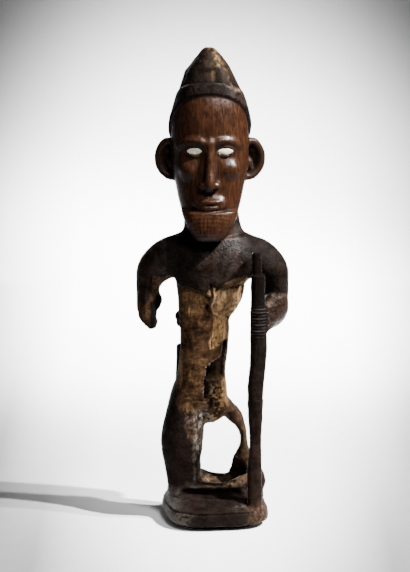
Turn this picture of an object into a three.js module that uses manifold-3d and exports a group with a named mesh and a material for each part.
// A small standing figure in the Bembe style, carved from one block of hardwood: a bearded man in a
// pointed cap, with jug ears and broad shoulders. The left hand holds a staff that stands on the domed
// base. The right forearm is broken away. Insects and rot have eaten the front of the trunk, the groin,
// most of the left leg and a crater in the base. The two eyes are separate inlays set into the face.
// Millimetres, +Z up. The figure faces -Y, so its right side is at -X.
import * as THREE from "three";
import { mergeVertices } from "three/addons/utils/BufferGeometryUtils.js";
import Module from "manifold-3d";

const wasm = await Module();
wasm.setup();

// Driving dimensions
const TOTAL_HEIGHT = 165;
const HEAD_WIDTH = 26.4;
const HEAD_X = -0.9;
const HAIRLINE_Z = 150;
const CHIN_Z = 102;
const CAP_TIP_X = -1.9;
const CAP_EDGE = { z: 139.2, slope: 1.05 };
const CAP_LINE = { z: 149.9, slope: 0.435 };
const SHOULDER_HALF_SPAN = 26.1;
const STAFF_X = 15;
const STAFF_Y = -11;
const BASE_TURN = THREE.MathUtils.degToRad(8.5);
const INLAY_GAP = 0.35;

// Face proportions: three equal thirds from hairline to chin, and a head five eyes wide
const THIRD = (HAIRLINE_Z - CHIN_Z) / 3;
const BROW_Z = HAIRLINE_Z - THIRD;
const NOSE_BASE_Z = BROW_Z - THIRD;
const MOUTH_Z = NOSE_BASE_Z - THIRD / 3;
const EYE_WIDTH = HEAD_WIDTH / 5;
const EYE_HEIGHT = EYE_WIDTH * 0.46;
const EYE_Z = BROW_Z - THIRD / 5;
const SIDES = [-1, 1];

// Materials
const darkWood = new THREE.MeshStandardMaterial({ color: 0x4a2c1c, roughness: 0.45, metalness: 0 });
const whiteInlay = new THREE.MeshStandardMaterial({ color: 0xe6dfc2, roughness: 0.4, metalness: 0 });

// A three.js geometry as a solid that can be joined and cut
function solid(geometry) {
  const bare = geometry.clone();
  bare.deleteAttribute("normal");
  bare.deleteAttribute("uv");
  const merged = mergeVertices(bare, 1e-4);
  const made = new wasm.Mesh({
    numProp: 3,
    vertProperties: merged.attributes.position.array,
    triVerts: new Uint32Array(merged.index.array),
  });
  return new wasm.Manifold(made);
}

// A finished solid as a named mesh
function meshOf(made, name, material) {
  const { vertProperties, triVerts } = made.getMesh();
  const geometry = new THREE.BufferGeometry();
  geometry.setAttribute("position", new THREE.BufferAttribute(vertProperties, 3));
  geometry.setIndex(new THREE.BufferAttribute(triVerts, 1));
  geometry.computeVertexNormals();
  const mesh = new THREE.Mesh(geometry, material);
  mesh.name = name;
  return mesh;
}

const join = (solids) => solids.reduce((sum, next) => sum.add(next));
const cut = (body, tools) => tools.reduce((rest, tool) => rest.subtract(tool), body);

// One level section of a stack: a rounded outline between its left, right, front and back
const section = (z, left, right, front, back, power = 2.3) => [z, left, right, front, back, power];

// Smooth values between the rows of a table, for u from 0 to 1
function along(rows, u) {
  const at = Math.min(u, 0.999999) * (rows.length - 1);
  const i = Math.floor(at);
  const t = at - i;
  const [a, b, c, d] = [i - 1, i, i + 1, i + 2].map((k) => rows[THREE.MathUtils.clamp(k, 0, rows.length - 1)]);
  return b.map((value, k) => {
    const slope = (c[k] - a[k]) / 2;
    const next = (d[k] - b[k]) / 2;
    const rise = c[k] - value;
    return value + slope * t + (3 * rise - 2 * slope - next) * t ** 2 + (slope + next - 2 * rise) * t ** 3;
  });
}

// A solid built up of level sections, lowest first
function stack(sections, sides, layers, grow = 0) {
  const geometry = new THREE.CylinderGeometry(1, 1, 1, sides, layers);
  const position = geometry.attributes.position;
  for (let i = 0; i < position.count; i++) {
    const [z, left, right, front, back, power] = along(sections, position.getY(i) + 0.5);
    const across = position.getX(i);
    const deep = -position.getZ(i);
    const reach = Math.abs(across) ** power + Math.abs(deep) ** power;
    const scale = reach > 0 ? reach ** (-1 / power) * Math.hypot(across, deep) : 0;
    const x = (left + right) / 2 + across * scale * ((right - left) / 2 + grow);
    const y = (front + back) / 2 + deep * scale * ((back - front) / 2 + grow);
    position.setXYZ(i, x, y, z);
  }
  return solid(geometry);
}

// A round-ended limb along a smooth path. Each joint is [x, y, z, half width, half depth], and the
// half depth is measured along the direction named by facing.
function limb(joints, sides, rings, facing = new THREE.Vector3(0, 1, 0)) {
  const path = new THREE.CatmullRomCurve3(joints.map(([x, y, z]) => new THREE.Vector3(x, y, z)));
  const geometry = new THREE.SphereGeometry(1, sides, rings);
  const position = geometry.attributes.position;
  const around = new THREE.Vector3();
  for (let i = 0; i < position.count; i++) {
    around.fromBufferAttribute(position, i);
    const s = Math.acos(THREE.MathUtils.clamp(around.y, -1, 1)) / Math.PI;
    const size = along(joints, s);
    const round = Math.sqrt(1 - Math.abs(2 * s - 1) ** 8);
    const ring = Math.hypot(around.x, around.z) || 1;
    const tangent = path.getTangent(s);
    const wide = new THREE.Vector3().crossVectors(facing, tangent).normalize();
    const deep = new THREE.Vector3().crossVectors(tangent, wide);
    const point = path.getPoint(s);
    point.addScaledVector(wide, (around.x / ring) * size[3] * round);
    point.addScaledVector(deep, (around.z / ring) * size[4] * round);
    position.setXYZ(i, point.x, point.y, point.z);
  }
  return solid(geometry);
}

// An ellipsoid, leaned by an angle about the front-to-back axis
function ball([x, y, z], [rx, ry, rz], sides = 16, rings = 10, lean = 0) {
  const geometry = new THREE.SphereGeometry(1, sides, rings);
  geometry.rotateX(Math.PI / 2);
  geometry.scale(rx, ry, rz);
  geometry.rotateY(lean);
  geometry.translate(x, y, z);
  return solid(geometry);
}

// A large block above a plane that rises towards the front
function above({ z, slope }) {
  const size = 80;
  const geometry = new THREE.BoxGeometry(size, size, size);
  geometry.translate(0, 0, size / 2);
  geometry.rotateX(-Math.atan(slope));
  geometry.translate(0, 0, z);
  return solid(geometry);
}

// An almond outline, drawn in X and Z, as a block between two depths
function almond(x, z, width, height, front, back) {
  const shape = new THREE.Shape();
  shape.moveTo(-width / 2, 0);
  shape.quadraticCurveTo(0, height, width / 2, 0);
  shape.quadraticCurveTo(0, -height, -width / 2, 0);
  const geometry = new THREE.ExtrudeGeometry(shape, { depth: back - front, bevelEnabled: false, curveSegments: 7 });
  geometry.rotateX(Math.PI / 2);
  geometry.translate(x, back, z);
  return solid(geometry);
}

// Head: an egg, widest at the eyes, with the crown hidden in the cap
const headSection = (z, half, front, back) => section(z, HEAD_X - half, HEAD_X + half, front, back);
const headSections = [
  headSection(CHIN_Z - 1, 6.2, -10.6, 3),
  headSection(106, 8.6, -12.2, 6.5),
  headSection(111, 10.3, -12.7, 9.5),
  headSection(NOSE_BASE_Z, 11.8, -12.7, 12),
  headSection(123, 12.8, -12.4, 13.4),
  headSection(129, HEAD_WIDTH / 2, -12.1, 14),
  headSection(135, HEAD_WIDTH / 2, -12.5, 14),
  headSection(141, 12.6, -12.2, 13.2),
  headSection(147, 11.2, -11, 11.6),
  headSection(152, 8.8, -8.8, 9),
  headSection(156, 6, -6, 6),
];

// Cap: a pointed cone that leans a little to the figure's right
const capSections = [
  section(124, HEAD_X - 13.9, HEAD_X + 13.6, -13.4, 15),
  section(132, HEAD_X - 14.1, HEAD_X + 13.8, -13.6, 15),
  section(139.2, -14.6, 12.8, -12.9, 14.2),
  section(144.4, -13.3, 11.8, -12.1, 12.6),
  section(149.6, -11.8, 10, -10.4, 10.4),
  section(154.7, -10, 7.3, -8.3, 8),
  section(159.2, -7.4, 4.6, -5.9, 5.6, 2.1),
  section(162.8, -4.9, 1.6, -3.3, 3.1, 2),
  section(TOTAL_HEIGHT, CAP_TIP_X - 0.9, CAP_TIP_X + 0.9, -0.9, 0.9, 2),
];

// Beard: a wedge that covers the chin and juts forward over the chest
const beardSection = (z, half, front, back) => section(z, HEAD_X - half, HEAD_X + half, front, back, 2.6);
const beardSections = [
  beardSection(99.7, 3.6, -12.6, -5),
  beardSection(100.6, 5.3, -14, -4),
  beardSection(103.4, 7, -14.8, -3),
  beardSection(107, 8.9, -14.9, -2),
  beardSection(MOUTH_Z - 2.4, 9.9, -14.3, -1),
];

// Neck and chest. The dark skin of the chest ends in a ledge above the eaten trunk.
const neckSections = [
  section(96, -12, 12.5, -6, 9),
  section(101, -10.3, 10.6, -5.6, 8.6),
  section(105, -9.8, 9.4, -5, 9),
  section(112, -9.6, 8.4, -4, 10),
];
const chestSections = [
  section(81.8, -12.2, 10.2, -8.5, 8.8, 2.6),
  section(86, -13.4, 13.2, -9.1, 9.2, 2.6),
  section(91, -14.5, 14.5, -9.3, 9.6, 2.5),
  section(96, -13.5, 14, -8.4, 9.4),
  section(100.5, -11, 11.4, -6.6, 8.6),
];

// Trunk from the groin up to the ledge; its left flank and front are eaten back
const trunkSections = [
  section(33.8, -10, 0.6, -2.2, 7),
  section(36.2, -12, 4.6, -3.2, 8.4),
  section(38.5, -13, 7.2, -4, 9.6),
  section(42, -14.4, 5.4, -6, 10.6),
  section(46, -13.4, 5, -6.9, 10.9),
  section(50, -12.3, 4.6, -7.1, 10.2),
  section(55, -11.6, 4.7, -7, 9.2),
  section(60, -11.2, 5.3, -6.8, 8.3),
  section(66, -11.2, 5.8, -6.7, 7.9),
  section(71, -11.5, 6, -6.9, 7.9),
  section(75, -11.9, 8.9, -7.1, 8.3),
  section(79, -12, 10.4, -7.3, 8.6),
  section(84, -12.6, 11, -7.6, 9),
];

// Hips: a remnant of the old surface that still stands proud at the right and behind
const hipSections = [
  section(41, -14.7, 2, -1, 11.4),
  section(48, -12.9, 3, 0, 11.6),
  section(55, -12.6, 3.4, 0.6, 10.2),
  section(60.6, -12.5, 3.6, 1, 9),
];

// Right leg: whole, with a bent knee
const rightLegSections = [
  section(6, -15, -3, -6, 7.6),
  section(11, -15.5, -3.3, -5.3, 7),
  section(16, -16.2, -3.7, -5, 6.5),
  section(20, -16.9, -4.2, -5.8, 6.2),
  section(24, -17.6, -3.9, -7, 6),
  section(28, -17.9, -3.4, -7.8, 6),
  section(33, -17.3, -2.8, -7.9, 6.7),
  section(38, -16.1, -2, -7.5, 8.2),
  section(43, -14.8, -0.5, -7, 9.6),
  section(47.6, -13.2, 0.6, -6.4, 9.6),
  section(52, -10.6, 0, -4.6, 8),
];

// Left leg: only a thin curved shell of its outer side remains
const leftLegSections = [
  section(5, 0.5, 18.2, -1.5, 8.6),
  section(8.6, 1, 17.8, -1, 8.4),
  section(12, 1.8, 18.6, -0.3, 8),
  section(16.2, 3.4, 17.5, 0.6, 7.4),
  section(20.5, 6.6, 15.2, 1, 7),
  section(23.3, 7.9, 13.2, 1, 7),
  section(26.2, 9, 12.4, 0.9, 7),
  section(29.8, 9.2, 11.9, 0.5, 7),
  section(32.6, 8.2, 11.4, 0, 7),
  section(35, 6.2, 10.8, -0.6, 7.4),
  section(37.6, 4.8, 9.7, -1.2, 8),
  section(40, 3, 7.4, -1.6, 8.6),
  section(43, 1, 4.6, -2, 9),
];

// Base: a rounded plinth with an undercut foot, a low wall, a ledge and a dome
const baseSections = [
  section(0, -14.2, 15.6, -18, 17.6, 3.2),
  section(1.8, -16.6, 18.2, -20.8, 20.2, 3.2),
  section(5, -16.5, 18.1, -20.6, 20, 3.2),
  section(5.9, -15.8, 17.4, -19.7, 19.3, 3.1),
  section(8.2, -15.5, 16.9, -17.4, 18.4, 2.8),
  section(10.6, -14.8, 15.6, -13, 16.8, 2.5),
  section(12.3, -12.8, 13, -8.4, 14, 2.4),
  section(13.2, -8.8, 9.4, -4.4, 10, 2.2),
];

// Arms, from inside the chest out to the elbow
const shoulder = (side) => [
  [side * 4, 0.6, 93.6, 6, 7.4],
  [side * 10, 0.5, 93.4, 6.9, 7.2],
  [side * 15.6, 0.3, 91.9, 6.7, 6.8],
  [side * 20, 0.2, 88.4, 5.8, 6],
];
const rightArm = [
  ...shoulder(-1),
  [-22, 0, 83.4, 4.4, 5.3],
  [-22.2, -0.2, 78.4, 3.95, 5],
  [-22.2, -0.6, 73.6, 3.9, 4.8],
  [-22, -1, 70, 3.2, 4],
  [-21.6, -1.2, 66.9, 1.6, 2.4],
];
const leftArm = [
  ...shoulder(1),
  [21.5, 0.8, 84, 4.8, 5.4],
  [21.9, 1.6, 78.6, 4.3, 5.2],
  [SHOULDER_HALF_SPAN - 4, 1.8, 74.4, 4, 4.8],
  [21.4, 1, 71.2, 3, 3.6],
];
const leftForearm = [
  [21.8, 3, 75.8, 4.2, 6.4],
  [21.4, -0.6, 75.6, 4.3, 7],
  [19.4, -5.4, 74.6, 3.6, 6.6],
  [16.8, -9.4, 73.8, 2.9, 5.4],
];

// Staff: a thin top, a collar at the armpit, a shaft that narrows at a knot, and the foot
const STAFF = { top: 96.2, collar: 88, knot: 45.6, foot: 5.4 };
const staffJoint = (z, halfWidth, shift = 0, y = STAFF_Y) => section(
  z, STAFF_X + shift - halfWidth, STAFF_X + shift + halfWidth, y - halfWidth, y + halfWidth, 2.4);
const staffSections = [
  staffJoint(STAFF.foot, 2.4, 0, -12.2),
  staffJoint(9.5, 1.75, -0.3, -12.1),
  staffJoint(22, 1.75, -0.3, -11.8),
  staffJoint(30, 1.75, -0.4, -11.6),
  staffJoint(38, 1.85, -0.5, -11.4),
  staffJoint(STAFF.knot - 0.8, 2, -0.4, -11.2),
  staffJoint(STAFF.knot + 0.8, 2.4, -0.4, -11.2),
  staffJoint(55.4, 2.6, 0.1, -11),
  staffJoint(73, 2.35, 0.5, -10.8),
  staffJoint(80.4, 2.3, 0.6, -10.6),
  staffJoint(STAFF.collar, 2.25, 0.6, -10.4),
];
const staffTopSections = [
  staffJoint(STAFF.collar - 1, 1.5, 0, -10.3),
  staffJoint(92.6, 1.35, 0, -10.1),
  staffJoint(STAFF.top, 1.15, 0, -9.9),
];

// Four fingers wrap round the staff from its outer side, one above the other
const FINGERS = 4;
const FINGER_PITCH = 2.3;
const FINGER_LOWEST_Z = 70;
function finger(index) {
  const z = FINGER_LOWEST_Z + index * FINGER_PITCH;
  const x = STAFF_X + 0.5;
  const path = [
    [x + 3.6, -7.8, z + 0.8, 1.4, 1.4],
    [x + 2.4, -11.3, z + 0.4, 1.3, 1.3],
    [x + 0.4, -12.9, z, 1.25, 1.2],
    [x - 1.6, -12.3, z - 0.2, 1.1, 1],
  ];
  return limb(path, 6, 6, new THREE.Vector3(0, 0, 1));
}

function ear(side) {
  const from = (x, y, z, r) => [HEAD_X + side * x, y, z, r, r * 1.15];
  const middle = (BROW_Z + NOSE_BASE_Z) / 2;
  const top = middle + 6;
  const bottom = middle - 6;
  const rim = limb([
    from(11.8, 0.4, top, 1.2),
    from(15.2, 1.5, top + 0.2, 1.3),
    from(17.5, 2.4, middle + 2.4, 1.35),
    from(17.2, 2.6, middle - 2.2, 1.3),
    from(14.6, 2, bottom + 0.6, 1.3),
    from(11.4, 1.2, bottom, 1.2),
  ], 7, 9);
  const shell = ball([HEAD_X + side * 14, 3, middle], [3.6, 1.7, 5.2], 10, 6);
  const tragus = ball([HEAD_X + side * 13.2, 1.6, middle - 1], [1.5, 1.6, 2], 6, 4);
  return join([rim, shell, tragus]);
}

function head() {
  const egg = stack(headSections, 32, 14);
  const brows = SIDES.map((side) => limb([
    [HEAD_X + side * 0.8, -12.2, BROW_Z - 0.6, 0.9, 1],
    [HEAD_X + side * 4.4, -12, BROW_Z + 0.4, 1, 1],
    [HEAD_X + side * 8, -10.1, BROW_Z - 0.2, 0.9, 1],
    [HEAD_X + side * 10.4, -7.6, BROW_Z - 2, 0.6, 0.7],
  ], 6, 6));
  const nose = limb([
    [HEAD_X, -11.6, BROW_Z + 0.6, 1.1, 1],
    [HEAD_X, -12.6, EYE_Z, 1.25, 1.3],
    [HEAD_X, -13.6, (EYE_Z + NOSE_BASE_Z) / 2, 1.5, 1.7],
    [HEAD_X, -14.6, NOSE_BASE_Z + 1.7, 2, 2],
    [HEAD_X, -13.6, NOSE_BASE_Z + 0.2, 1.6, 1.4],
  ], 8, 8);
  const nostrils = SIDES.map((side) =>
    ball([HEAD_X + side * 2.2, -13.6, NOSE_BASE_Z + 1.4], [1.5, 2, 1.4], 8, 5));
  const lips = [
    ball([HEAD_X, -12.9, MOUTH_Z + 1], [4.3, 1.9, 1.3], 12, 6),
    ball([HEAD_X, -12.8, MOUTH_Z - 0.95], [3.8, 1.8, 1.25], 12, 6),
  ];
  const sockets = SIDES.map((side) =>
    ball([HEAD_X + side * EYE_WIDTH, -13.4, EYE_Z - 0.2], [EYE_WIDTH * 0.66, 2.2, 2.1], 12, 6));
  const face = cut(join([egg, ...brows]), sockets);
  return join([face, nose, ...nostrils, ...lips, stack(beardSections, 24, 5), ear(-1), ear(1)]);
}

// The cap is cut off along a plane that is low at the nape. Its lower part, up to a flatter plane,
// stands a little proud as a band.
function cap() {
  const cone = stack(capSections, 28, 9).intersect(above(CAP_EDGE));
  const band = stack(capSections, 28, 9, 0.45).intersect(above(CAP_EDGE)).subtract(above(CAP_LINE));
  return join([cone, band]);
}

function body() {
  const arms = [limb(rightArm, 12, 14), limb(leftArm, 12, 12), limb(leftForearm, 10, 6, new THREE.Vector3(0, 0, 1))];
  const scar = ball([-11.6, 1.2, 71], [1.8, 2.6, 2.4], 8, 6);
  const buttocks = [
    ball([-7, 6.4, 43], [6.4, 5.4, 7], 12, 6),
    ball([-0.6, 6.2, 44], [4.6, 4.8, 6.6], 12, 6),
  ];
  return join([
    stack(neckSections, 20, 3),
    stack(chestSections, 26, 6),
    stack(trunkSections, 22, 12),
    stack(hipSections, 14, 4),
    ...arms,
    scar,
    ...buttocks,
  ]);
}

function staff() {
  const shaft = stack(staffSections, 8, 12);
  const fingers = Array.from({ length: FINGERS }, (_, i) => finger(i));
  return join([shaft, stack(staffTopSections, 8, 2), ...fingers]);
}

function base() {
  const plinth = stack(baseSections, 34, 8).rotate([0, 0, THREE.MathUtils.radToDeg(BASE_TURN)]);
  const heelRim = limb([
    [-5, 6.6, 13.4, 2.4, 2.4],
    [0, 8.6, 12.6, 2.4, 2.4],
    [5, 8.6, 12.2, 2.4, 2.4],
    [10, 6.6, 13.4, 2.4, 2.4],
  ], 8, 8, new THREE.Vector3(0, 0, 1));
  return join([plinth, heelRim]);
}

// The cavity that runs down the groin
const cavityPath = [
  [3.9, -5.8, 59.4, 1.3, 3],
  [2.4, -5.8, 55, 2.4, 5.4],
  [1, -6.8, 50, 2.7, 4.6],
  [0.6, -7.6, 45, 2.9, 3.8],
  [0.6, -7.2, 40.4, 2.6, 3.2],
];

// What insects and rot have eaten out of the wood
const eaten = () => [
  ball([6, -9.3, 83.4], [5.4, 3.4, 2.3], 14, 8, THREE.MathUtils.degToRad(-28)),
  ball([3.4, -7.4, 68.6], [2.2, 1.7, 8], 12, 8, THREE.MathUtils.degToRad(14)),
  limb(cavityPath, 10, 9),
  ball([3.6, 1.6, 16.4], [8.4, 5.2, 6], 16, 10),
];

// The break that took the right forearm leaves a slanting raw face on the inner side of the elbow
const forearmBreak = () => ball([-16.6, -7.2, 75.4], [4.4, 5.4, 8.4], 12, 8);

const inlayFront = (side) => ball([HEAD_X + side * EYE_WIDTH, -7.6, EYE_Z], [5.2, 4.75, 5.2], 18, 12);
const pocket = (side) => almond(
  HEAD_X + side * EYE_WIDTH, EYE_Z, EYE_WIDTH + 2 * INLAY_GAP, EYE_HEIGHT + 2 * INLAY_GAP, -14, -10.2);
const inlay = (side) => almond(
  HEAD_X + side * EYE_WIDTH, EYE_Z, EYE_WIDTH, EYE_HEIGHT, -14, -10.2 - INLAY_GAP).intersect(inlayFront(side));

const carved = cut(join([
  head(),
  cap(),
  body(),
  stack(rightLegSections, 18, 12),
  stack(leftLegSections, 14, 12),
  base(),
]), [...eaten(), forearmBreak(), ...SIDES.map(pocket)]).add(staff());

const figure = new THREE.Group();
figure.add(meshOf(carved, "carved_figure", darkWood));
figure.add(meshOf(inlay(-1), "right_eye_inlay", whiteInlay));
figure.add(meshOf(inlay(1), "left_eye_inlay", whiteInlay));

// The origin is the bottom centre of the whole object's box
const extent = new THREE.Box3().setFromObject(figure);
const centre = extent.getCenter(new THREE.Vector3());
figure.position.set(-centre.x, -centre.y, -extent.min.z);

export default figure;
